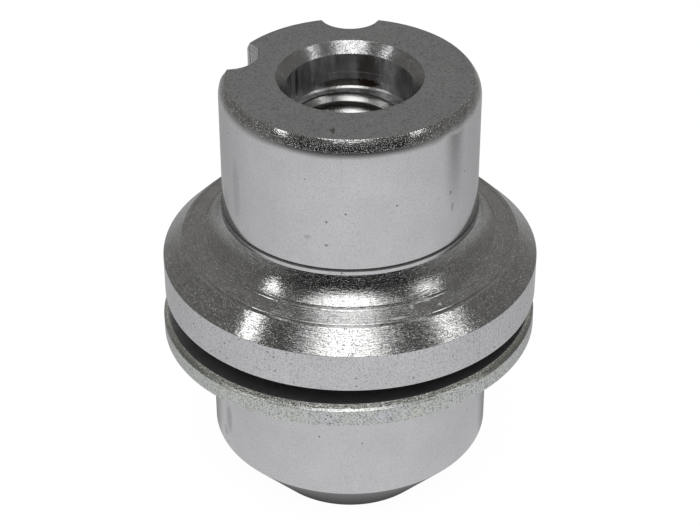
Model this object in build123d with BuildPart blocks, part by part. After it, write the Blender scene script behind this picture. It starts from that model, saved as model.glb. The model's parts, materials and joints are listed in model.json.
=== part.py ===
# A tall round wheel nut: tapered end, plain shank, broad flange, round head with two key notches,
# and a loose washer trapped on a neck between the flange and the shank.
# Millimetres. The origin is the middle of the tapered end's face, and +Z runs up the thread to the head.
import os
from math import radians, tan

from build123d import *

os.makedirs("parts", exist_ok=True)

# thread, cut right through, with its crests at the minor diameter
thread_major_d = 12.0
thread_pitch = 1.5
thread_form_depth = 1.0825  # minor diameter = major diameter - this many pitches, on a 60 degree thread
thread_lead_in = 0.2  # 45 degree chamfer where the thread starts, under the entry bore
thread_run_out = 1.1  # 45 degree chamfer where the thread leaves at the tapered end

# plain entry bore at the head
entry_clearance = 0.375  # all round, over the stud's thread
entry_depth = 4.75
entry_chamfer = 1.05

# tapered end and shank, which pass into the wheel
end_face_width = 2.85  # flat ring round the thread, on which the nut stands
end_edge_r = 0.3
taper_length = 6.4
taper_corner_r = 0.4
shank_d = 29.45
shank_length = 12.55

# captive washer and the neck that it turns on
lip_overlap = 0.28  # how far the shank's shoulder stands out under the washer's bore
wheel_hole_clearance = 0.2  # all round, between the shank and the wheel's hole
washer_bore_clearance = 0.25  # all round, between the neck and the washer
washer_seat_clearance = 0.2  # between the shoulder and the washer's underside
washer_thickness = 2.6
washer_lift = 1.9  # free travel left above the washer, under the flange
washer_proud = 0.3  # how far the washer stands out past the flange's rim
washer_step = 0.25  # how far the upper face's edge lies in from the washer's side
washer_step_drop = 0.9  # from the upper face down to the top of the side
washer_bevel = 0.2
washer_edge_break = 0.1

# flange
flange_d = 39.0
rim_height = 4.1
rim_chamfer = 2.0
rim_edge_break = 0.08
flange_slope = 17.0  # degrees, the upper face's fall from the collar to the chamfer
cove_radius = 3.6
cove_share = 0.95  # most of the flange's face and collar that the cove may take up
collar_rise = 6.05  # from the rim's top edge to the ledge under the head
collar_ledge = 0.3

# head
head_d = 26.3
head_height = 14.25
crown_inset = 0.8  # the rounded top edge, measured in from the wall
crown_drop = 1.9  # and down from the top face

# two half-round notches for the pegs of a key
key_notch_r = 3.2
key_notch_depth = 8.0
key_notch_count = 2
key_first_angle = 90.0
key_spacing = 70.0

# radii that follow from the sizes above
thread_r = (thread_major_d - thread_form_depth * thread_pitch) / 2
entry_r = thread_major_d / 2 + entry_clearance
end_r = thread_r + thread_run_out + end_face_width
shank_r = shank_d / 2
washer_bore_r = shank_r - lip_overlap
washer_bore_bevel = lip_overlap + wheel_hole_clearance  # the flat seat starts clear of the shank
neck_r = washer_bore_r - washer_bore_clearance
flange_r = flange_d / 2
washer_r = flange_r + washer_proud
slope_r = flange_r - rim_chamfer
head_r = head_d / 2
collar_r = head_r + collar_ledge

# heights, stacked from the end face
shoulder_z = taper_length + shank_length
washer_z = shoulder_z + washer_seat_clearance
flange_z = washer_z + washer_thickness + washer_lift
rim_z = flange_z + rim_height
slope_z = rim_z + rim_chamfer
slope_rise = (slope_r - collar_r) * tan(radians(flange_slope))
collar_foot_z = slope_z + slope_rise
ledge_z = rim_z + collar_rise
top_z = ledge_z + head_height
crown_z = top_z - crown_drop

# the cove takes the same tangent length from both faces that it joins
cove_tangent = tan(radians(90 - flange_slope) / 2)
cove_room = cove_share * min(slope_r - collar_r, ledge_z - collar_foot_z)
cove_r = min(cove_radius, cove_room / cove_tangent)


def turned_edges(piece):
    """The round edges of a piece that lie level, about the thread's axis."""
    return piece.edges().filter_by(GeomType.CIRCLE).filter_by(Plane.XY)


# nut body: half its section turned about the thread's axis, then bored and notched
with BuildPart() as nut_body:
    with BuildSketch(Plane.XZ) as section:
        with BuildLine():
            side = Polyline(
                (0, 0),
                (end_r, 0),
                (shank_r, taper_length),
                (shank_r, shoulder_z),
                (neck_r, shoulder_z),
                (neck_r, flange_z),
                (flange_r, flange_z),
                (flange_r, rim_z),
                (slope_r, slope_z),
                (collar_r, collar_foot_z),
                (collar_r, ledge_z),
                (head_r, ledge_z),
                (head_r, crown_z),
            )
            crown = TangentArc(side @ 1, (head_r - crown_inset, top_z), tangent=(0, 1))
            Polyline(crown @ 1, (0, top_z), (0, 0))
        make_face()
        corners = section.vertices()
        end_corner = corners.sort_by_distance((end_r, 0))[0]
        taper_corner = corners.sort_by_distance((shank_r, taper_length))[0]
        cove_corner = corners.sort_by_distance((collar_r, collar_foot_z))[0]
        rim_corner = corners.sort_by_distance((flange_r, flange_z))[0]
        fillet(end_corner, end_edge_r)
        fillet(taper_corner, taper_corner_r)
        fillet(cove_corner, cove_r)
        chamfer(rim_corner, rim_edge_break)
    revolve(axis=Axis.Z)

    # the thread's bore, wider and plain where it opens at the head
    with Locations((0, 0, top_z)):
        CounterBoreHole(radius=thread_r, counter_bore_radius=entry_r, counter_bore_depth=entry_depth)
    mouth_edge = turned_edges(nut_body).group_by(Axis.Z)[-1].sort_by(SortBy.RADIUS)[0]
    chamfer(mouth_edge, entry_chamfer)
    start_edge = turned_edges(nut_body).group_by(SortBy.RADIUS)[0].sort_by(Axis.Z)[-1]
    chamfer(start_edge, thread_lead_in)
    exit_edge = turned_edges(nut_body).group_by(SortBy.RADIUS)[0].sort_by(Axis.Z)[0]
    chamfer(exit_edge, thread_run_out)

    # key notches, sunk from the top face and open at the wall
    with BuildSketch(Plane.XY.offset(top_z)):
        with PolarLocations(head_r, key_notch_count, key_first_angle, key_spacing, endpoint=True):
            Circle(key_notch_r)
    extrude(amount=-key_notch_depth, mode=Mode.SUBTRACT)

nut_body.part.label = "nut_body"
export_step(nut_body.part, "parts/nut_body.step")


# captive washer: a flat ring, stepped and bevelled at its upper edge, and both edges of its bore bevelled
with BuildPart() as captive_washer:
    with BuildSketch(Plane.XY.offset(washer_z)):
        Circle(washer_r)
    extrude(amount=washer_thickness - washer_step_drop)
    side_edge = captive_washer.edges().group_by(Axis.Z)[-1]
    chamfer(side_edge, washer_bevel)
    lower_edge = captive_washer.edges().group_by(Axis.Z)[0]
    chamfer(lower_edge, washer_edge_break)
    with BuildSketch(Plane.XY.offset(washer_z)):
        Circle(washer_r - washer_step)
    extrude(amount=washer_thickness)
    with Locations((0, 0, washer_z + washer_thickness)):
        Hole(radius=washer_bore_r)
    bore_edges = turned_edges(captive_washer).group_by(SortBy.RADIUS)[0]
    chamfer(bore_edges, washer_bore_bevel)

captive_washer.part.label = "captive_washer"
export_step(captive_washer.part, "parts/captive_washer.step")

print("height", round(top_z, 3), "washer from", round(washer_z, 3), "cove radius", round(cove_r, 3))
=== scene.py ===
# Wheel nut with a captive washer, standing on its tapered end on a white table.
import json
import math

import bpy
import numpy as np
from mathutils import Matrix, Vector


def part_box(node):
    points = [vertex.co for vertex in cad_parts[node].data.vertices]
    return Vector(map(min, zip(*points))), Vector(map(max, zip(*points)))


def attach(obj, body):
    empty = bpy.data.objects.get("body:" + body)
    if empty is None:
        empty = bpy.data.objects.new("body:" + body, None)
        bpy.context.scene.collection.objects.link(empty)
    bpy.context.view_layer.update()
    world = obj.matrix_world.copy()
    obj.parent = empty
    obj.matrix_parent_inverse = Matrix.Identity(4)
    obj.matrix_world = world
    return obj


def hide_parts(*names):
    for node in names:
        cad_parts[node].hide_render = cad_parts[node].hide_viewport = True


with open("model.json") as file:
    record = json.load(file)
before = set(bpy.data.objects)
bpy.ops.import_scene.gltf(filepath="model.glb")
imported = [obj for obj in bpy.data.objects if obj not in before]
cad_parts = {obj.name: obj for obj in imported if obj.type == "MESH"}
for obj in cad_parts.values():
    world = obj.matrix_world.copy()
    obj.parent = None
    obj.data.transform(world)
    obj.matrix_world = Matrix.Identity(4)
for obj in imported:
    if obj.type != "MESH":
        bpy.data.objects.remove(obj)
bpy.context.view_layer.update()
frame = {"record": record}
mounts = {mount["name"]: mount["dims"] for mount in frame["record"]["mounts"]}
mm = 0.001  # sizes below are in millimetres, meshes in metres
print("frame loaded")


# surfaces

gridSizes = {
    "holdPast": 0.05,  # millimetres from a rounding's end to the point that keeps its side flat
    "holdRoom": 0.95,  # the most that this point may use of half a side
    "samePerMm": 1e5,  # points that lie closer than a millimetre over this are one
    "sharpDeg": 28,  # edges that bend more than this are sharp
}


def roundedPath(corners, steps=5):
    # The line through the corners (radius, height, rounding, finish). A rounding replaces its corner by an
    # arc that touches both sides at rounding / tan(half the corner's angle) from it. One more point lies just
    # past each end, so that the sides stay flat in the shading.
    # Gives the points, and for each the number of the corner whose side it begins.
    places = np.array([corner[:2] for corner in corners], float)
    points, owners = [places[:1]], [np.array([0])]
    for k in range(1, len(corners) - 1):
        rounding = corners[k][2]
        if rounding == 0:
            points.append(places[k:k + 1])
            owners.append(np.array([k]))
            continue
        back, on = places[k - 1] - places[k], places[k + 1] - places[k]
        room = min(np.hypot(*back), np.hypot(*on)) / 2
        back, on = back / np.hypot(*back), on / np.hypot(*on)
        half = math.acos(np.clip(back @ on, -1, 1)) / 2
        middle = (back + on) / np.hypot(*(back + on))
        centre = places[k] + middle * rounding / math.sin(half)
        first, last = (places[k] + side * rounding / math.tan(half) - centre for side in (back, on))
        start = math.atan2(first[1], first[0])
        turn = (math.atan2(last[1], last[0]) - start + math.pi) % (2 * math.pi) - math.pi
        angle = start + turn * np.linspace(0, 1, steps)
        arc = centre + rounding * np.stack([np.cos(angle), np.sin(angle)], 1)
        touch = rounding / math.tan(half)
        past = max(touch, min(touch + gridSizes["holdPast"], room * gridSizes["holdRoom"]))
        points.append(np.concatenate([[places[k] + back * past], arc, [places[k] + on * past]]))
        owners.append(np.where(np.arange(steps + 2) <= steps // 2, k - 1, k))
    points.append(places[-1:])
    owners.append(np.array([len(corners) - 1]))
    return np.concatenate(points), np.concatenate(owners)


def gridMesh(name, places, finish, run):
    # A closed surface from a grid of points: rows run round a section, columns round the axis. Points that
    # coincide are made one, and triangles that this flattens are left out. Each row has the number of its
    # material in finish, and each point its distance along the section in run.
    rows, columns = places.shape[:2]
    flat = places.reshape(-1, 3)
    rounded = np.round(flat / mm * gridSizes["samePerMm"]).astype(np.int64)
    kept, same = np.unique(rounded, axis=0, return_inverse=True)
    same = same.ravel()
    firsts = np.zeros(len(kept), np.int64)
    firsts[same[::-1]] = np.arange(rows * columns)[::-1]
    grid = np.arange(rows * columns).reshape(rows, columns)
    a, b, c, d = grid[:-1, :-1], grid[1:, :-1], grid[1:, 1:], grid[:-1, 1:]
    corners = np.concatenate([np.stack([a, b, c], -1), np.stack([a, c, d], -1)]).reshape(-1, 3)
    coats = np.tile(np.repeat(finish[:-1], columns - 1), 2)
    ends = same[corners]
    solid = (ends[:, 0] != ends[:, 1]) & (ends[:, 1] != ends[:, 2]) & (ends[:, 0] != ends[:, 2])
    corners, ends, coats = corners[solid], ends[solid], coats[solid]
    mesh = bpy.data.meshes.new(name)
    mesh.vertices.add(len(kept))
    mesh.vertices.foreach_set("co", flat[firsts].astype(np.float32).ravel())
    mesh.loops.add(ends.size)
    mesh.loops.foreach_set("vertex_index", ends.astype(np.int32).ravel())
    mesh.polygons.add(len(ends))
    mesh.polygons.foreach_set("loop_start", np.arange(0, ends.size, 3, dtype=np.int32))
    mesh.update(calc_edges=True)
    mesh.polygons.foreach_set("material_index", coats.astype(np.int32))
    lengths = mesh.attributes.new("run", "FLOAT", "CORNER").data
    lengths.foreach_set("value", run.ravel()[corners].astype(np.float32).ravel())
    mesh.shade_smooth()
    mesh.set_sharp_from_angle(angle=math.radians(gridSizes["sharpDeg"]))
    piece = bpy.data.objects.new(name, mesh)
    bpy.context.scene.collection.objects.link(piece)
    print(name, len(corners), "triangles")
    return piece


def lengthAlong(section):
    # the distance along the section from its first point to each point: the sum of the steps before it
    return np.concatenate([[0], np.cumsum(np.hypot(np.diff(section[:, 0]), np.diff(section[:, 1])))])


# nut

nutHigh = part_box("nut_body")[1]
topZ = nutHigh.z / mm
flangeR = nutHigh.x / mm
threadR = mounts["stud_thread"]["r_mm"]
entryR = mounts["entry_bore"]["r_mm"]
headR = mounts["key_head"]["r_mm"]
shankR = mounts["wheel_shank"]["r_mm"]

nutSizes = {
    # bore: plain entry, chamfer of its mouth, ledge where the thread starts, widened exit
    "entryDepth": 4.88, "sinkWidth": 1.05, "stepWidth": 0.185, "exitR": 6.288, "exitStep": 0.05,
    # top edge
    "crownR": 2.656, "crownDrop": 1.9, "crownSteep": 38.0, "crownSoft": 16.0, "topR": 12.37, "topShift": 0.15,
    # head, with the ledge, groove and land under it
    "headHeight": 14.35, "ledge": 0.19, "grooveHigh": 0.18, "grooveIn": 0.15, "landHigh": 0.4,
    # cove, slope, flange and neck
    "coveDeg": 20.0, "coveShare": 0.7, "slopeR": 17.5, "slopeDeg": 17.0, "lipR": 17.1, "lipDeg": 7.0,
    "chamfer": 2.0, "rimHeight": 4.1, "neckR": 14.195, "washerRoom": 4.7,
    # shank and tapered end
    "shankLength": 12.62, "taperLength": 6.33, "endR": 9.18,
    "edge": 0.06,  # rounding of the crisp edges
    # key notches
    "notchR": 3.2, "notchDepth": 8.0, "notchAngles": (90.0, 160.0), "notchLipDeg": 4.5,
    # thread, and one turn of it from root to root: share of the pitch and share of the depth
    "threadPitch": 1.5, "threadDepth": 0.6, "threadStart": 97.0,
    "threadTurn": [(0.0, 1.0), (0.05, 0.96), (0.3, 0.04), (0.35, 0.0), (0.56, 0.0), (0.6, 0.05),
                   (0.63, 0.134), (0.89, 0.866), (0.93, 0.96)],
    # where the crown's lower edge has worn down or up: azimuth, half width in degrees, millimetres down
    "wear": [(-142.0, 9.0, 0.12), (-118.0, 5.0, -0.08), (-101.0, 6.0, 0.06), (-73.0, 7.0, -0.07),
             (-52.0, 4.0, 0.08), (-44.0, 3.0, -0.2), (-37.0, 2.5, 0.22), (-31.0, 2.2, -0.2),
             (-25.0, 2.2, 0.18), (-19.0, 2.5, -0.2), (-12.0, 4.0, 0.12), (-165.0, 6.0, -0.1)],
    # the grid: columns round the axis and in a notch, rows across the top, crown, wall and each rounding
    "columnsPerTurn": 192, "notchColumns": 24, "topRows": 9, "crownRows": 16, "wallRows": 9, "arcRows": 7,
    "lastWallRow": 0.995,  # its share of the way down, just above the notch's floor
}


def nutCorners():
    # The section from the thread's start up the bore, over the head and down the outside to the thread's
    # exit. The cove leaves the collar at an angle and meets the slope: its corner is where both lines cross.
    # Gives the corners inside and over the crown, and those from the notch's floor down.
    s = nutSizes
    edge = s["edge"]
    entryZ = topZ - s["entryDepth"]
    ledgeZ = topZ - s["headHeight"]
    collarR = headR + s["ledge"]
    rimZ = s["taperLength"] + s["shankLength"] + s["washerRoom"] + s["rimHeight"]
    slopeZ = rimZ + s["chamfer"]
    lipZ = slopeZ + (s["slopeR"] - s["lipR"]) * math.tan(math.radians(s["lipDeg"]))
    landZ = ledgeZ - s["grooveHigh"]
    coveZ = landZ - s["landHigh"]
    cove, slope = math.radians(s["coveDeg"]), math.radians(s["slopeDeg"])
    fall = coveZ - lipZ - (s["lipR"] - collarR) * math.tan(slope)
    reach = fall / (math.cos(cove) - math.sin(cove) * math.tan(slope))
    coveR = s["coveShare"] * reach / math.tan((math.pi / 2 - slope - cove) / 2)
    crownZ = topZ - s["crownDrop"]
    shoulderZ = s["taperLength"] + s["shankLength"]
    steep = math.radians(s["crownSteep"])
    inner = [
        (threadR, entryZ, 0, "bore"),
        (entryR - s["stepWidth"], entryZ, 0.02, "thread"),
        (entryR, entryZ + s["stepWidth"], 0.04, "bore"),
        (entryR, topZ - s["sinkWidth"], 0.12, "sink"),
        (entryR + s["sinkWidth"], topZ, edge, "top"),
        (s["topR"], topZ, 0.17, "crown"),
        (headR - s["crownR"] * (1 - math.cos(steep)), crownZ + s["crownR"] * math.sin(steep), 0, "crown"),
    ]
    outer = [
        (headR, topZ - s["notchDepth"], 0, "wall"),
        # from here the groove and ledge under the head take the painted shade finish
        (headR, ledgeZ, 0.03, "hidden"),
        (headR - s["grooveIn"], ledgeZ, 0.02, "hidden"),
        (headR - s["grooveIn"], landZ, 0.02, "hidden"),
        (collarR, landZ, 0.02, "wall"),
        (collarR, coveZ, 0.03, "turned"),
        (collarR + reach * math.sin(cove), coveZ - reach * math.cos(cove), coveR, "turned"),
        (s["lipR"], lipZ, 1.0, "turned"),
        (s["slopeR"], slopeZ, 0.12, "chamfer"),
        (flangeR, rimZ, edge, "rim"),
        # the flange's underside, the neck and the shoulder take the painted shade finish too
        (flangeR, rimZ - s["rimHeight"], 0.03, "hidden"),
        (s["neckR"], rimZ - s["rimHeight"], 0.1, "hidden"),
        (s["neckR"], shoulderZ, 0.1, "hidden"),
        (shankR, shoulderZ, 0.1, "wall"),
        (shankR, s["taperLength"], 0.25, "wall"),
        (s["endR"], 0, 0.2, "turned"),
        (s["exitR"], 0, edge, "thread"),
        (s["exitR"] - s["exitStep"], s["exitStep"], 0, "thread"),
    ]
    return inner, outer


def threadRadius(height, climbed):
    # A plated thread, flat at the crests and rounded at the roots: minor radius + depth x the turn's share,
    # at what the climb is past its last whole pitch. A 45 degree cone widens it where it runs out at the end.
    s = nutSizes
    shares, depths = np.array(s["threadTurn"] + [(1.0, 1.0)]).T
    radius = threadR + s["threadDepth"] * np.interp(climbed / s["threadPitch"] % 1, shares, depths)
    return np.maximum(radius, s["exitR"] - height)


def nutColumns():
    # Angles evenly spaced round the head, closer in the notches and doubled at their edges, each with its
    # angle from the notch that it lies in, and the plain ones with the share of the lip that they are past.
    s = nutSizes
    half = math.degrees(2 * math.asin(s["notchR"] / (2 * headR)))
    stops, angles, away = 0.0, [], []
    for middle in s["notchAngles"]:
        count = round((middle - half - stops) * s["columnsPerTurn"] / 360) + 1
        plain = np.linspace(stops, middle - half, count)
        inside = np.linspace(-half, half, s["notchColumns"] + 1)
        angles += [plain, middle + inside]
        away += [np.full(len(plain), np.nan), inside]
        stops = middle + half
    plain = np.linspace(stops, 360, round((360 - stops) * s["columnsPerTurn"] / 360) + 1)
    angles = np.concatenate(angles + [plain])
    away = np.concatenate(away + [np.full(len(plain), np.nan)])
    gaps = [np.abs((angles - middle + 180) % 360 - 180) - half for middle in s["notchAngles"]]
    past = np.clip(np.min(gaps, axis=0) / s["notchLipDeg"], 0, 1)
    return np.radians(angles), np.radians(away), past


def makeNut():
    # The section is carried round the axis: x = radius x cos(angle), y = radius x sin(angle). In a notch the
    # rows are moved onto its wall and floor, and the thread's rows climb by pitch x angle / full turn.
    s = nutSizes
    angles, away, past = nutColumns()
    cutIn = ~np.isnan(away)
    floorZ = topZ - s["notchDepth"]

    # rows: bore and top face, crown, then the outside
    inner, outer = nutCorners()
    innerPoints, innerOwner = roundedPath(inner)
    mouthEnd = int(np.argmax(innerPoints[:, 0] > (entryR + headR) / 2))
    share = np.linspace(0, 1, s["topRows"])[1:-1, None]
    across = innerPoints[mouthEnd - 1] + share * (innerPoints[mouthEnd] - innerPoints[mouthEnd - 1])
    steep = math.radians(s["crownSteep"]) * np.linspace(1, 0, s["crownRows"])
    crownMiddle = (headR - s["crownR"], topZ - s["crownDrop"])
    arc = crownMiddle + s["crownR"] * np.stack([np.cos(steep), np.sin(steep)], 1)
    crown = np.concatenate([innerPoints[mouthEnd:-1], arc])
    share = np.append(np.linspace(0, 1, s["wallRows"])[1:-1], s["lastWallRow"])[:, None]
    down = arc[-1] + share * (np.array(outer[0][:2]) - arc[-1])
    outerPoints, outerOwner = roundedPath(outer, s["arcRows"])
    section = np.concatenate([innerPoints[:mouthEnd], across, crown, down, outerPoints])
    soft = int(np.sum(steep < math.radians(s["crownSoft"])))  # its lowest rows are as smooth as the wall
    finish = [inner[k][3] for k in innerOwner[:mouthEnd]] + ["top"] * len(across)
    finish += ["crown"] * (len(crown) - soft) + ["wall"] * (soft + len(down))
    finish += [outer[k][3] for k in outerOwner]
    radius = np.repeat(section[:, :1], len(angles), 1)
    height = np.repeat(section[:, 1:], len(angles), 1)
    topStart = mouthEnd - 1
    crownStart = mouthEnd + len(across)
    wallStart = crownStart + len(crown)
    wallEnd = wallStart + len(down) + 1
    headRows = slice(crownStart, wallEnd - 1)

    # the crown is worn unevenly: its rows are drawn down or up by the wear at each angle
    around = np.degrees(angles)
    worn = sum(drop * np.exp(-(((around - at + 180) % 360 - 180) / wide) ** 2)
               for at, wide, drop in s["wear"])
    fall = np.clip((topZ - height[headRows]) / s["crownDrop"], 0, 1)
    fade = np.clip((height[headRows] - floorZ) / (crownMiddle[1] - floorZ), 0, 1)
    height[headRows] -= worn * fall * fade

    # in a notch the top stops at the notch's near wall, then the wall runs down and its floor runs out
    offMiddle = headR * np.sin(away[cutIn])
    near = headR * np.cos(away[cutIn]) - np.sqrt(np.clip(s["notchR"] ** 2 - offMiddle ** 2, 0, None))
    mouthR = section[topStart, 0]
    toNear = ((section[topStart:crownStart, 0] - mouthR) / (section[crownStart, 0] - mouthR))[:, None]
    radius[topStart:crownStart, cutIn] = mouthR + toNear * (near - mouthR)
    radius[crownStart:wallStart, cutIn] = near
    height[crownStart:wallStart, cutIn] = np.linspace(topZ, floorZ, len(crown))[:, None]
    outward = np.linspace(0, 1, wallEnd - wallStart)[:, None]
    radius[wallStart:wallEnd, cutIn] = near + outward * (headR - near)
    height[wallStart:wallEnd, cutIn] = floorZ

    # the notch's mouth is rounded: beside it the wall comes out from the notch's edge on a quarter oval
    lip = near[0] + (headR - near[0]) * np.sqrt(past[~cutIn] * (2 - past[~cutIn]))
    radius[headRows, ~cutIn] = np.minimum(radius[headRows, ~cutIn], lip)

    # thread: rows that climb one pitch a turn, held between the bore's ledge and the end's chamfer
    pitch = s["threadPitch"]
    startZ = topZ - s["entryDepth"]
    turns = math.ceil(startZ / pitch) + 2
    climb = pitch * (np.arange(turns)[:, None] + [share for share, depth in s["threadTurn"]]).ravel()
    helix = pitch * (angles / (2 * math.pi) + s["threadStart"] / 360)
    threadHeight = np.clip(climb[:, None] + helix - 2 * pitch, s["exitStep"], startZ)
    threadRows = threadRadius(threadHeight, threadHeight - helix)
    radius[0] = threadRows[-1]
    radius = np.concatenate([radius, threadRows])
    height = np.concatenate([height, threadHeight])
    finish += ["thread"] * len(climb)

    # the top edge sits a little forward of the head, which blends out at the bore and down the crown
    rise = np.clip((height - topZ) / s["crownDrop"] + 1, 0, 1) ** 2
    outwards = np.clip((radius - mouthR) / (s["topR"] - mouthR), 0, 1)
    depth = radius * np.sin(angles) - s["topShift"] * rise * outwards
    places = np.stack([radius * np.cos(angles), depth, height], -1) * mm
    run = lengthAlong(section)
    run = np.concatenate([run, run[-1] + climb])
    numbers = np.array([list(nutLooks).index(word) for word in finish])
    return gridMesh("nut", places, numbers, np.repeat(run[:, None], len(angles), 1))


# washer

washerLow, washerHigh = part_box("captive_washer")
washerSizes = {
    # bore, top, step, bevels and side
    "boreR": 14.49, "boreBevel": 0.75, "insideCad": 0.17, "topDown": 0.25, "stepIn": 0.26, "stepDrop": 0.4,
    "bevelIn": 0.24, "bevelDrop": 0.22, "underEdge": 0.06,
    # how it hangs, in degrees and millimetres
    "tiltLeft": 1.05, "tiltBack": 1.4, "shift": (-0.15, -0.14, -0.18),
    # the grid
    "columns": 240, "arcRows": 6,
}


def makeWasher():
    # A flat ring: bevelled bore, flat top, a step down its upper edge, a bevel and the side. Its section is
    # carried round the axis: x = radius x cos(angle), y = radius x sin(angle). Its top lies a little lower
    # than in the solid. It hangs a little askew: turned about Y and X through its middle, shifted and sunk
    # onto its lip.
    s = washerSizes
    low, high = washerLow.z / mm, washerHigh.z / mm
    top = high - s["topDown"]
    outR = washerHigh.x / mm - s["insideCad"]
    corners = [
        # the bore, the top face under the flange and the underside take the seat's finish with its painted
        # shade
        (s["boreR"], (low + high) / 2, 0, "seat"),
        (s["boreR"], top - s["boreBevel"], 0.1, "seat"),
        (s["boreR"] + s["boreBevel"], top, 0.1, "seat"),
        # the step down the upper edge takes the lit band's finish, a painted highlight
        (outR - s["bevelIn"] - s["stepIn"], top, 0.06, "band"),
        (outR - s["bevelIn"], top - s["stepDrop"], 0.05, "zinc"),
        (outR, top - s["stepDrop"] - s["bevelDrop"], 0.05, "zinc"),
        (outR, low + s["underEdge"], 0.03, "zinc"),
        (outR - s["underEdge"], low, 0.03, "seat"),
        (s["boreR"] + s["boreBevel"], low, 0.1, "seat"),
        (s["boreR"], low + s["boreBevel"], 0.1, "seat"),
        (s["boreR"], (low + high) / 2, 0, "seat"),
    ]
    section, owner = roundedPath(corners, s["arcRows"])
    angles = np.linspace(0, 2 * math.pi, s["columns"] + 1)
    radius, height = section[:, :1], section[:, 1:] + 0 * angles
    middle = (low + high) / 2
    x, y, z = radius * np.cos(angles), radius * np.sin(angles), height - middle
    left, back = math.radians(s["tiltLeft"]), math.radians(s["tiltBack"])
    x, z = x * math.cos(left) - z * math.sin(left), x * math.sin(left) + z * math.cos(left)
    y, z = y * math.cos(back) + z * math.sin(back), z * math.cos(back) - y * math.sin(back)
    shift = s["shift"]
    placed = np.stack([x + shift[0], y + shift[1], z + middle + shift[2]], -1) * mm
    placed[:, -1] = placed[:, 0]
    run = lengthAlong(section)
    finish = np.array([list(washerLooks).index(corners[k][3]) for k in owner])
    return gridMesh("washer", placed, finish, np.repeat(run[:, None], len(angles), 1))


# materials

def addNode(tree, kind, inputs=None, **settings):
    # one node: settings are its own properties, inputs are fixed values or other nodes' sockets
    made = tree.nodes.new(kind)
    for key, value in settings.items():
        setattr(made, key, value)
    for key, value in (inputs or {}).items():
        if isinstance(value, bpy.types.NodeSocket):
            tree.links.new(value, made.inputs[key])
        else:
            made.inputs[key].default_value = value
    return made


def calc(tree, operation, *values, clamp=False):
    # one step of arithmetic, on fixed values or sockets
    inputs = dict(enumerate(values))
    return addNode(tree, "ShaderNodeMath", inputs, operation=operation, use_clamp=clamp).outputs[0]


def blendColours(tree, share, first, second):
    # the first colour where the share is 0, the second where it is 1
    mixed = addNode(tree, "ShaderNodeMix", {0: share, 6: first, 7: second}, data_type="RGBA")
    return mixed.outputs[2]


def noise(tree, vector, scale, detail=2.0, roughness=0.5):
    # soft noise from 0 to 1, about its middle of a half
    inputs = {"Vector": vector, "Scale": scale, "Detail": detail, "Roughness": roughness}
    return addNode(tree, "ShaderNodeTexNoise", inputs).outputs["Fac"]


def dots(tree, vector, spacing, size, share, least=0.3, crisp=4):
    # Round spots: one to each cell of the spacing, only in the given share of cells. Each has its own
    # radius, size x (least + chance), and a soft edge: crisp x (radius - distance) / size, 1 at most.
    cell = {"Vector": vector, "Scale": 1 / spacing}
    spots = addNode(tree, "ShaderNodeTexVoronoi", cell)
    chance = addNode(tree, "ShaderNodeSeparateColor", {0: spots.outputs["Color"]})
    there = calc(tree, "LESS_THAN", chance.outputs[0], share)
    reach = calc(tree, "MULTIPLY_ADD", chance.outputs[1], size / spacing, least * size / spacing)
    inside = calc(tree, "SUBTRACT", reach, spots.outputs["Distance"])
    soft = calc(tree, "MULTIPLY", inside, crisp * spacing / size, clamp=True)
    return calc(tree, "MULTIPLY", soft, there)


def marks(tree, place, ragged, spots, lying, through=2.0, crisp=2.5, solid=1.6):
    # Single marks where the real nut has them: azimuth, radius and height of the middle, length round the
    # nut, length along the section, and strength. Each is an oval that reaches through the surface. Its share
    # is crisp x (ragged - distance in half lengths) + solid, so the noise makes its edge ragged. On a lying
    # face the section runs outwards, and on a wall it runs up.
    total = 0.0
    for azimuth, radius, height, wide, tall, strength in spots:
        turn = math.radians(azimuth)
        own = addNode(tree, "ShaderNodeMapping", {
            "Vector": place, "Location": (radius * math.cos(turn), radius * math.sin(turn), height),
            "Rotation": (0, 0, turn),
            "Scale": (tall / 2, wide / 2, through) if lying else (through, wide / 2, tall / 2),
        }, vector_type="TEXTURE").outputs[0]
        reach = addNode(tree, "ShaderNodeVectorMath", {0: own}, operation="LENGTH").outputs["Value"]
        inside = calc(tree, "MULTIPLY_ADD", calc(tree, "SUBTRACT", ragged, reach), crisp, solid, clamp=True)
        total = calc(tree, "MULTIPLY_ADD", inside, strength, total, clamp=True)
    return total


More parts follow.
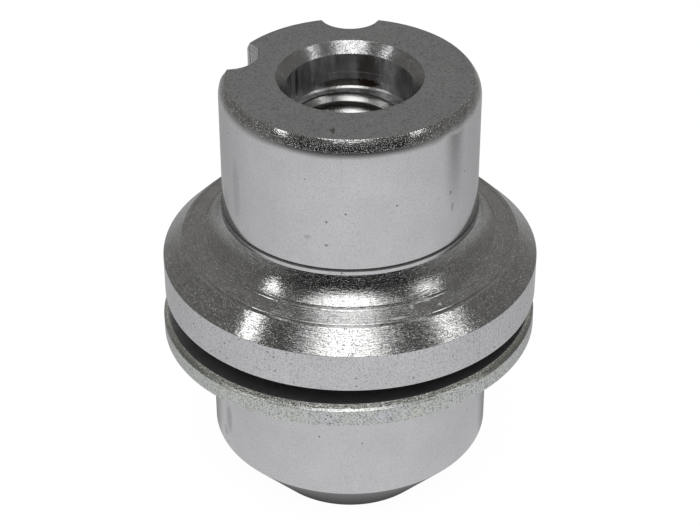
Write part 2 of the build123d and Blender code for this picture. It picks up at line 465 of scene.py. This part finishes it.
def steel(name, look):
    # Plated steel. The bump adds up turning lines and rings that follow the section, a grain drawn out round
    # the axis, crystals that stand up here and there, dents and pits. The colour goes from the plain one to
    # the stain by the mottling, then flecks, streaks along the lines, pits and single marks are laid over it.
    material = bpy.data.materials.new(name)
    material.use_nodes = True
    tree = material.node_tree
    shader = tree.nodes["Principled BSDF"]
    shader.inputs["Metallic"].default_value = look["metallic"]
    objectPlace = addNode(tree, "ShaderNodeTexCoord").outputs["Object"]
    place = addNode(tree, "ShaderNodeVectorMath", {0: objectPlace, "Scale": 1 / mm},
                    operation="SCALE").outputs[0]
    parts = addNode(tree, "ShaderNodeSeparateXYZ", {0: place}).outputs
    level = addNode(tree, "ShaderNodeCombineXYZ", {0: parts[0], 1: parts[1]}).outputs[0]
    around = addNode(tree, "ShaderNodeVectorMath", {0: level}, operation="NORMALIZE").outputs[0]
    turn = addNode(tree, "ShaderNodeSeparateXYZ", {0: around}).outputs
    run = addNode(tree, "ShaderNodeAttribute", attribute_name="run").outputs["Fac"]
    alongLine = addNode(tree, "ShaderNodeCombineXYZ", {
        0: calc(tree, "MULTIPLY", run, look["linesPerMm"]),
        1: calc(tree, "MULTIPLY", turn[0], look["lineTurns"]),
        2: calc(tree, "MULTIPLY", turn[1], look["lineTurns"])}).outputs[0]

    lines = noise(tree, alongLine, 1.0, detail=3.0, roughness=0.6)
    drawnOut = addNode(tree, "ShaderNodeCombineXYZ", {
        0: calc(tree, "MULTIPLY", run, 1 / look["grainSize"]),
        1: calc(tree, "MULTIPLY", parts[0], 1 / look["grainLong"]),
        2: calc(tree, "MULTIPLY", parts[1], 1 / look["grainLong"])}).outputs[0]
    grain = noise(tree, drawnOut, 1.0, detail=1.0)
    flecks = noise(tree, place, 1 / look["fleckSize"], detail=1.0)
    tallPlace = addNode(tree, "ShaderNodeVectorMath", {0: place, 1: (1, 1, 1 / look["mottleTall"])},
                        operation="MULTIPLY").outputs[0]
    mottle = noise(tree, tallPlace, 1 / look["mottleSize"], detail=3.0, roughness=0.6)
    pits = dots(tree, place, look["pitSpacing"], look["pitSize"], look["pitShare"])

    height = calc(tree, "MULTIPLY", lines, look["lineDepth"])
    if look["rings"]:
        outward = addNode(tree, "ShaderNodeVectorMath", {0: level}, operation="LENGTH").outputs["Value"]
        for radius, half, depth in look["rings"]:  # a groove with sloping sides round the axis
            off = calc(tree, "ABSOLUTE", calc(tree, "SUBTRACT", outward, radius))
            near = calc(tree, "SUBTRACT", 1.0, calc(tree, "DIVIDE", off, half), clamp=True)
            height = calc(tree, "MULTIPLY_ADD", near, -depth, height)
    height = calc(tree, "MULTIPLY_ADD", grain, look["grainDepth"], height)
    height = calc(tree, "MULTIPLY_ADD", flecks, look["fleckDepth"], height)
    if look["sparkDepth"]:
        sparks = noise(tree, place, 1 / look["sparkSize"], detail=0.0)
        crystals = calc(tree, "MAXIMUM", calc(tree, "SUBTRACT", sparks, look["sparkAbove"]), 0.0)
        height = calc(tree, "MULTIPLY_ADD", crystals, look["sparkDepth"], height)
    height = calc(tree, "MULTIPLY_ADD", mottle, look["dentDepth"], height)
    height = calc(tree, "MULTIPLY_ADD", pits, -look["pitDepth"], height)
    bump = addNode(tree, "ShaderNodeBump", {"Height": height, "Distance": mm, "Strength": 1.0})
    tree.links.new(bump.outputs[0], shader.inputs["Normal"])

    uneven = calc(tree, "SUBTRACT", mottle, 0.5)  # about the noise's middle
    patchy = calc(tree, "MULTIPLY_ADD", uneven, look["mottleContrast"], 0.5, clamp=True)
    colour = blendColours(tree, patchy, look["colour"], look["stain"])
    fleck = calc(tree, "SUBTRACT", flecks, look["fleckAbove"])
    fleck = calc(tree, "MULTIPLY", fleck, look["fleckTone"], clamp=True)
    colour = blendColours(tree, fleck, colour, look["fleckColour"])
    if look["streakTone"]:
        streak = calc(tree, "SUBTRACT", lines, look["streakAbove"])
        streak = calc(tree, "MULTIPLY", streak, look["streakTone"], clamp=True)
        colour = blendColours(tree, streak, colour, look["streakColour"])
    colour = blendColours(tree, calc(tree, "MULTIPLY", pits, look["pitTone"]), colour, look["pitColour"])
    rough = calc(tree, "MULTIPLY_ADD", uneven, look["roughSpread"], look["rough"])
    if look["darkMarks"]:
        dark = marks(tree, place, flecks, look["darkMarks"], look["lying"])
        colour = blendColours(tree, dark, colour, look["darkColour"])
    if look["paleMarks"]:
        pale = marks(tree, place, flecks, look["paleMarks"], look["lying"])
        colour = blendColours(tree, pale, colour, look["paleColour"])
        rough = calc(tree, "MULTIPLY_ADD", pale, look["paleRough"], rough)
        tree.links.new(calc(tree, "SUBTRACT", look["metallic"], pale), shader.inputs["Metallic"])
    tree.links.new(colour, shader.inputs["Base Color"])
    tree.links.new(rough, shader.inputs["Roughness"])
    return material


plainSteel = {
    "metallic": 1.0, "rough": 0.11, "roughSpread": 0.06,
    "lying": False,  # a lying face's section runs outwards
    "colour": (0.65, 0.65, 0.655, 1), "stain": (0.60, 0.60, 0.605, 1),
    "mottleSize": 4.0, "mottleTall": 1.0, "mottleContrast": 2.5, "dentDepth": 0.006,
    "linesPerMm": 4.0, "lineTurns": 3.0, "lineDepth": 0.0004,
    "grainSize": 0.16, "grainLong": 0.16, "grainDepth": 0.0006,
    "fleckSize": 0.12, "fleckAbove": 0.45, "fleckDepth": 0.0, "fleckTone": 1.8,
    "fleckColour": (0.44, 0.44, 0.45, 1),
    "sparkSize": 0.09, "sparkAbove": 0.69, "sparkDepth": 0.0,
    "streakAbove": 0.52, "streakTone": 0.0, "streakColour": (0.3, 0.3, 0.3, 1),
    "pitSpacing": 1.1, "pitSize": 0.09, "pitShare": 0.3, "pitDepth": 0.01, "pitTone": 0.8,
    "pitColour": (0.05, 0.05, 0.05, 1),
    "rings": [],  # radius, half width and depth of single grooves
    "darkMarks": [], "darkColour": (0.12, 0.12, 0.12, 1),
    "paleMarks": [], "paleColour": (0.8, 0.8, 0.78, 1), "paleRough": 0.4,
}
wallLook = dict(
    plainSteel, fleckTone=2.4, darkColour=(0.22, 0.22, 0.23, 1),
    darkMarks=[(-100.0, headR, 39.1, 0.3, 0.25, 1.0), (-100.1, headR, 36.4, 0.45, 0.3, 0.8),
               (-91.9, headR, 40.1, 0.25, 0.2, 1.0), (-108.4, headR, 37.1, 0.9, 0.5, 0.35),
               (-41.5, headR, 39.8, 0.3, 0.5, 0.8), (-40.0, headR, 38.0, 0.5, 1.0, 0.45),
               (-149.0, headR, 38.8, 1.4, 7.0, 0.22), (-161.5, headR, 36.0, 1.6, 3.0, 0.3),
               (-114.5, flangeR, 27.1, 0.3, 0.2, 1.0),
               (-151.0, shankR, 10.4, 1.4, 3.6, 0.45), (-154.6, shankR, 8.2, 1.0, 1.4, 0.4)])
rimLook = dict(wallLook, pitSpacing=0.5, pitShare=0.7, pitSize=0.085, fleckSize=0.16, fleckTone=4.2)
turnedLook = dict(
    plainSteel, lying=True, colour=(0.655, 0.655, 0.645, 1), stain=(0.52, 0.52, 0.51, 1),
    rough=0.085, roughSpread=0.05, mottleSize=1.4, dentDepth=0.008,
    linesPerMm=7.5, lineTurns=13.0, lineDepth=0.034, grainSize=0.1, grainLong=0.3, grainDepth=0.008,
    fleckSize=0.2, fleckTone=3.0, sparkDepth=0.17, streakTone=2.6,
    rings=[(15.2, 0.14, 0.07), (15.5, 0.08, 0.03), (16.7, 0.06, 0.012), (17.08, 0.1, 0.05)],
    paleMarks=[(-67.4, 15.76, 30.3, 0.5, 0.5, 0.5), (-60.7, 15.48, 30.3, 0.8, 0.4, 0.7),
               (-57.2, 16.4, 30.1, 0.5, 0.35, 0.6), (-73.7, 16.7, 29.9, 1.5, 0.3, 0.8)])
chamferLook = dict(turnedLook, sparkSize=0.13, sparkAbove=0.67, sparkDepth=0.25, rings=[], paleMarks=[])
crownLook = dict(
    plainSteel, lying=True, colour=(0.64, 0.64, 0.635, 1), stain=(0.46, 0.46, 0.45, 1), rough=0.08,
    mottleSize=1.0, dentDepth=0.02, linesPerMm=5.0, lineTurns=10.0, lineDepth=0.018,
    grainSize=0.1, grainLong=0.25, grainDepth=0.016, fleckSize=0.2, fleckTone=3.0,
    sparkAbove=0.61, sparkDepth=0.17, streakTone=2.6)
topLook = dict(
    plainSteel, lying=True, colour=(0.59, 0.595, 0.61, 1), stain=(0.52, 0.525, 0.54, 1),
    rough=0.42, roughSpread=0.1, grainDepth=0.0, pitSpacing=0.7,
    fleckSize=0.22, fleckDepth=0.03, fleckTone=3.6, fleckColour=(0.36, 0.36, 0.37, 1),
    darkMarks=[(-98.6, 10.93, topZ, 0.5, 1.0, 0.7)])
sinkLook = dict(
    plainSteel, lying=True, colour=(0.54, 0.54, 0.55, 1), stain=(0.36, 0.36, 0.35, 1), rough=0.2,
    mottleSize=0.8, dentDepth=0.01, linesPerMm=6.0, lineTurns=8.0, lineDepth=0.02,
    grainSize=0.1, grainLong=0.25, grainDepth=0.008, sparkAbove=0.63, sparkDepth=0.2, streakTone=2.0)
boreLook = dict(
    plainSteel, metallic=0.7, colour=(0.68, 0.68, 0.71, 1), stain=(0.26, 0.26, 0.25, 1), rough=0.22,
    mottleSize=1.0, mottleTall=3.0, lineDepth=0.006, grainDepth=0.02, darkColour=(0.052, 0.034, 0.023, 1),
    darkMarks=[(148.0, entryR, 45.4, 0.6, 3.2, 0.8), (160.0, entryR, 45.6, 0.5, 2.6, 0.5),
               (73.0, entryR, 45.2, 2.4, 4.8, 0.6), (28.0, entryR, 45.2, 3.6, 5.0, 0.45),
               (135.0, entryR, 45.2, 1.6, 5.0, 0.5), (90.0, entryR, 43.75, 9.0, 0.9, 0.75)],
    paleColour=(0.5, 0.5, 0.5, 1), paleMarks=[(84.0, entryR, 44.95, 6.0, 0.12, 0.28)])
threadLook = dict(
    plainSteel, colour=(0.5, 0.5, 0.5, 1), stain=(0.4, 0.4, 0.38, 1), rough=0.24,
    mottleSize=1.2, grainDepth=0.02)
# painted shade: a dark, weakly metallic copy of the steel for the groove and ledge under the head, the
# flange's underside, the neck and the shoulder, where these recesses lie in shade
paintedShadeLook = dict(
    plainSteel, metallic=0.25, colour=(0.26, 0.26, 0.265, 1), stain=(0.2, 0.2, 0.205, 1), rough=0.35)
zincLook = dict(
    plainSteel, metallic=0.88, colour=(0.70, 0.72, 0.64, 1), stain=(0.69, 0.72, 0.75, 1), rough=0.3,
    mottleSize=3.2, grainDepth=0.03, pitSpacing=0.4, pitShare=0.6, pitSize=0.08,
    fleckSize=0.18, fleckTone=5.0, fleckColour=(0.38, 0.39, 0.37, 1), darkColour=(0.3, 0.3, 0.26, 1),
    darkMarks=[(205.0, 19.3, 20.95, 14.0, 0.62, 0.6), (-30.0, 19.3, 21.5, 14.0, 0.62, 0.6)])
# painted highlight: a lighter copy of the zinc for the step down the washer's upper edge, so that it shows
# brighter than the plain zinc
litBandLook = dict(
    zincLook, colour=(0.82, 0.83, 0.77, 1), stain=(0.58, 0.59, 0.53, 1), rough=0.2,
    mottleSize=0.5, grainSize=0.14, grainDepth=0.09, fleckTone=6.0)
# painted shade: a copy of the zinc, a little darker and without its green, for the washer's bore, underside
# and the top face that lies in the flange's shade
seatShadeLook = dict(
    plainSteel, metallic=0.9, colour=(0.62, 0.62, 0.64, 1), stain=(0.5, 0.5, 0.52, 1), rough=0.3,
    linesPerMm=3.0, lineDepth=0.02)

# the finishes that the corners name, in the order of each piece's materials
nutLooks = {
    "wall": wallLook, "rim": rimLook, "crown": crownLook, "turned": turnedLook, "chamfer": chamferLook,
    "top": topLook, "sink": sinkLook, "bore": boreLook, "thread": threadLook, "hidden": paintedShadeLook,
}
washerLooks = {"zinc": zincLook, "band": litBandLook, "seat": seatShadeLook}


# table, lights and camera

studio = {
    # the table in the metal: size, reach of the pool, its brightness, rise to the front, fall behind
    "floorSize": 1.5, "tableReach": 0.09, "tableBright": 0.65, "tableFront": 0.16, "tableBack": 0.12,
    "poolTint": (0.985, 0.985, 1, 1), "tableGrey": (0.5, 0.5, 0.5, 1),
    "shadeInner": 0.0086, "shadeOuter": 0.016, "shadeBehind": 0.032,  # under the nut, longer behind it
    "patchMiddle": (0.088, 0.0116, 0), "patchReach": 0.026, "patchDepth": 0.5,
    "cameraGlow": 0.965, "cameraWhite": 0.1,  # what the camera sees
    # the room's tones from the front (0) to the back (1), and the haze in front between two heights
    "room": [(0.0, 0.02), (0.13, 0.026), (0.25, 0.115), (0.42, 0.155), (0.6, 0.17), (0.8, 0.185),
             (1.0, 0.235)],
    "roomTint": (1.02, 1.0, 0.96), "haze": 0.15, "hazeLow": 0.28, "hazeHigh": 0.68, "hazeNarrow": 2.0,
    "panelHeight": 0.6,
}
panels = [  # middle and size in panel heights, turn in degrees, brightness
    {"name": "panel_main", "middle": (-0.025, -0.58), "size": (0.59, 1.05), "turn": 0, "bright": 2.25},
    {"name": "panel_back", "middle": (0.0, 0.25), "size": (0.28, 0.36), "turn": 0, "bright": 0.8},
    {"name": "panel_left", "middle": (-1.14, -0.47), "size": (0.18, 1.1), "turn": -51, "bright": 3.0},
    {"name": "panel_right", "middle": (1.14, -0.47), "size": (0.18, 1.1), "turn": 51, "bright": 3.1},
]
# back from the axis and over the table in metres, tilt in degrees, lens and sensor in millimetres
view = {"back": 0.177, "height": 0.14569, "pitchDeg": 34.154, "lens": 104.41, "sensor": 36.0, "near": 0.005}


def roomTone(tree, heading):
    # the room's brightness by the way that it lies, from the front (0) to the back (1)
    ramp = addNode(tree, "ShaderNodeValToRGB", {0: calc(tree, "MULTIPLY_ADD", heading, 0.5, 0.5)})
    tones = studio["room"]
    for place, tone in tones[1:-1]:
        ramp.color_ramp.elements.new(place)
    for element, (place, tone) in zip(ramp.color_ramp.elements, tones):
        element.position = place
        element.color = [tone * tint for tint in studio["roomTint"]] + [1]
    return ramp.outputs[0]


def makeTable():
    # White to the camera. In the metal, a bright pool that fades with the square of its distance into the
    # room's tone: share = (reach / distance) squared, 1 at most. It is shaded under the nut, with one dim
    # patch to the right.
    side = studio["floorSize"]
    mesh = bpy.data.meshes.new("table")
    corners = [(-side, -side, 0), (side, -side, 0), (side, side, 0), (-side, side, 0)]
    mesh.from_pydata(corners, [], [(0, 1, 2, 3)])
    table = bpy.data.objects.new("table", mesh)
    bpy.context.scene.collection.objects.link(table)
    material = bpy.data.materials.new("white_table")
    material.use_nodes = True
    tree = material.node_tree
    tree.nodes.clear()
    place = addNode(tree, "ShaderNodeTexCoord").outputs["Object"]
    away = addNode(tree, "ShaderNodeVectorMath", {0: place}, operation="LENGTH").outputs["Value"]
    away = calc(tree, "MAXIMUM", away, mm)  # nothing is divided by zero
    across = addNode(tree, "ShaderNodeSeparateXYZ", {0: place}).outputs
    back = calc(tree, "DIVIDE", across[1], away)
    pool = calc(tree, "MULTIPLY_ADD", back, -studio["tableFront"], studio["tableBright"])
    pool = calc(tree, "MULTIPLY_ADD", calc(tree, "MAXIMUM", back, 0.0), -studio["tableBack"], pool)
    fade = calc(tree, "POWER", calc(tree, "DIVIDE", studio["tableReach"], away), 2.0, clamp=True)
    shadeReach = calc(tree, "MULTIPLY_ADD", calc(tree, "MAXIMUM", back, 0.0), studio["shadeBehind"],
                      studio["shadeOuter"])
    shade = addNode(tree, "ShaderNodeMapRange", {"Value": away, "From Min": studio["shadeInner"],
                                                 "From Max": shadeReach}).outputs[0]
    off = addNode(tree, "ShaderNodeVectorMath", {0: place, 1: studio["patchMiddle"]}, operation="DISTANCE")
    patch = addNode(tree, "ShaderNodeMapRange", {
        "Value": off.outputs["Value"], "From Max": studio["patchReach"], "To Min": 1 - studio["patchDepth"],
        "To Max": 1.0}, interpolation_type="SMOOTHSTEP").outputs[0]
    bright = calc(tree, "MULTIPLY", calc(tree, "MULTIPLY", pool, patch), shade)
    shown = blendColours(tree, fade, roomTone(tree, back), studio["poolTint"])
    strength = calc(tree, "ADD", calc(tree, "MULTIPLY", bright, fade), calc(tree, "SUBTRACT", 1.0, fade))
    seen = addNode(tree, "ShaderNodeEmission", {"Color": shown, "Strength": strength}).outputs[0]
    lit = addNode(tree, "ShaderNodeBsdfDiffuse", {"Color": studio["tableGrey"]}).outputs[0]
    faint = addNode(tree, "ShaderNodeBsdfDiffuse", {"Color": [studio["cameraWhite"]] * 3 + [1]}).outputs[0]
    glow = addNode(tree, "ShaderNodeEmission", {"Strength": studio["cameraGlow"]}).outputs[0]
    white = addNode(tree, "ShaderNodeAddShader", {0: glow, 1: faint}).outputs[0]
    light = addNode(tree, "ShaderNodeLightPath").outputs
    plainView = calc(tree, "MAXIMUM", light["Is Camera Ray"], light["Is Transmission Ray"])
    first = addNode(tree, "ShaderNodeMixShader", {0: plainView, 1: lit, 2: white}).outputs[0]
    both = addNode(tree, "ShaderNodeMixShader", {0: light["Is Glossy Ray"], 1: first, 2: seen}).outputs[0]
    addNode(tree, "ShaderNodeOutputMaterial", {"Surface": both})
    mesh.materials.append(material)


def makeWorld():
    # White behind the object for the camera. In the metal a dim room, darkest in front and grey behind, with
    # a haze in front that grows with height towards the panels.
    world = bpy.data.worlds.new("studio")
    bpy.context.scene.world = world
    world.use_nodes = True
    tree = world.node_tree
    tree.nodes.clear()
    way = addNode(tree, "ShaderNodeTexCoord").outputs["Generated"]
    parts = addNode(tree, "ShaderNodeSeparateXYZ", {0: way}).outputs
    level = addNode(tree, "ShaderNodeCombineXYZ", {0: parts[0], 1: parts[1]}).outputs[0]
    heading = addNode(tree, "ShaderNodeVectorMath", {0: level}, operation="NORMALIZE").outputs[0]
    back = addNode(tree, "ShaderNodeSeparateXYZ", {0: heading}).outputs[1]
    upper = addNode(tree, "ShaderNodeMapRange", {"Value": parts[2], "From Min": studio["hazeLow"],
                                                 "From Max": studio["hazeHigh"]}).outputs[0]
    narrow = studio["hazeNarrow"]  # 1 straight in front, less to the sides by narrow x (1 - cos(heading))
    front = calc(tree, "MULTIPLY_ADD", back, -narrow, 1 - narrow, clamp=True)
    haze = calc(tree, "MULTIPLY", calc(tree, "MULTIPLY", upper, front), studio["haze"])
    tone = addNode(tree, "ShaderNodeVectorMath", {0: roomTone(tree, back), 1: haze},
                   operation="ADD").outputs[0]
    room = addNode(tree, "ShaderNodeBackground", {"Color": tone, "Strength": 1.0}).outputs[0]
    white = addNode(tree, "ShaderNodeBackground", {"Color": (1, 1, 1, 1), "Strength": 1.0}).outputs[0]
    light = addNode(tree, "ShaderNodeLightPath").outputs
    plainView = calc(tree, "MAXIMUM", light["Is Camera Ray"], light["Is Transmission Ray"])
    shown = addNode(tree, "ShaderNodeMixShader", {0: plainView, 1: room, 2: white}).outputs[0]
    addNode(tree, "ShaderNodeOutputWorld", {"Surface": shown})


def makePanels():
    # flat panels in one plane over the table, all facing straight down; watts = brightness x pi x area
    for panel in panels:
        lamp = bpy.data.lights.new(panel["name"], "AREA")
        lamp.shape = "RECTANGLE"
        lamp.size, lamp.size_y = (side * studio["panelHeight"] for side in panel["size"])
        lamp.energy = panel["bright"] * math.pi * lamp.size * lamp.size_y
        item = bpy.data.objects.new(panel["name"], lamp)
        x, y = (step * studio["panelHeight"] for step in panel["middle"])
        item.location = (x, y, studio["panelHeight"])
        item.rotation_euler = (0, 0, math.radians(panel["turn"]))
        item.visible_camera = False
        bpy.context.scene.collection.objects.link(item)


def makeCamera():
    # at the photograph's angle: back from the axis, over the table, tilted down by the pitch
    camera = bpy.data.objects.new("camera", bpy.data.cameras.new("camera"))
    camera.data.lens = view["lens"]
    camera.data.sensor_width = view["sensor"]
    camera.data.clip_start = view["near"]
    camera.location = (0, -view["back"], view["height"])
    camera.rotation_euler = (math.radians(90 - view["pitchDeg"]), 0, 0)
    bpy.context.scene.collection.objects.link(camera)
    bpy.context.scene.camera = camera


nut = makeNut()
for word, look in nutLooks.items():
    nut.data.materials.append(steel(word + "_steel", look))
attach(nut, "nut")
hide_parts("nut_body")
print("nut made")

washer = makeWasher()
for word, look in washerLooks.items():
    washer.data.materials.append(steel(word + "_plate", look))
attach(washer, "washer")
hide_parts("captive_washer")
print("washer made")

makeTable()
makeWorld()
makePanels()
makeCamera()
bpy.context.scene.view_settings.view_transform = "Standard"
print("studio made")
